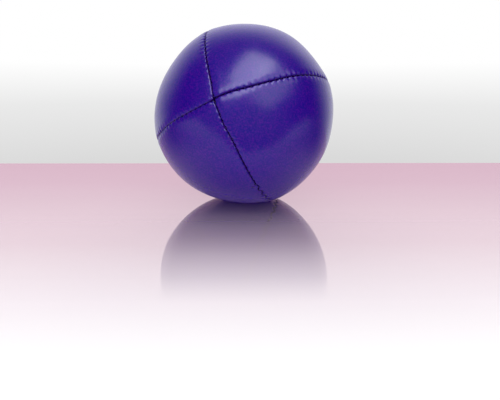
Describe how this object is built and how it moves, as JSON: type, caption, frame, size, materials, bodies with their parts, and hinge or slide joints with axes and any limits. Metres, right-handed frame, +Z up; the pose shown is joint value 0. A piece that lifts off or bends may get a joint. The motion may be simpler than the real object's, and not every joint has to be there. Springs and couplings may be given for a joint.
{
  "type": "sewn juggling ball",
  "caption": "Soft sewn ball for throwing and juggling: leatherette panels joined pole to pole by lockstitched seams, filled with millet.",
  "frame": {"origin": "middle of the flat patch on which the ball rests, at its base", "axes": "+Z up; the pole at which the seams cross faces -Y, turned a little to -X and tilted a little up; +X is the ball's right seen from -Y"},
  "size_m": [0.0648, 0.065, 0.0642],
  "materials": {
    "upper_left_panel": "semi-gloss grained leatherette",
    "upper_right_panel": "semi-gloss grained leatherette",
    "lower_left_panel": "semi-gloss grained leatherette",
    "lower_right_panel": "semi-gloss grained leatherette",
    "sewing_thread": "matt twisted polyester",
    "closing_thread": "matt twisted polyester",
    "millet": "dry seed"
  },
  "bodies": {
    "root": {"upper_left_panel": "upper_left_panel", "upper_right_panel": "upper_right_panel", "lower_left_panel": "lower_left_panel", "lower_right_panel": "lower_right_panel", "left_seam_needle_thread": "sewing_thread", "left_seam_bobbin_thread": "sewing_thread", "right_seam_needle_thread": "sewing_thread", "right_seam_bobbin_thread": "sewing_thread", "main_seam_needle_thread": "sewing_thread", "main_seam_bobbin_thread": "sewing_thread", "closing_thread": "closing_thread", "millet_filling": "millet"}
  },
  "joints": []
}
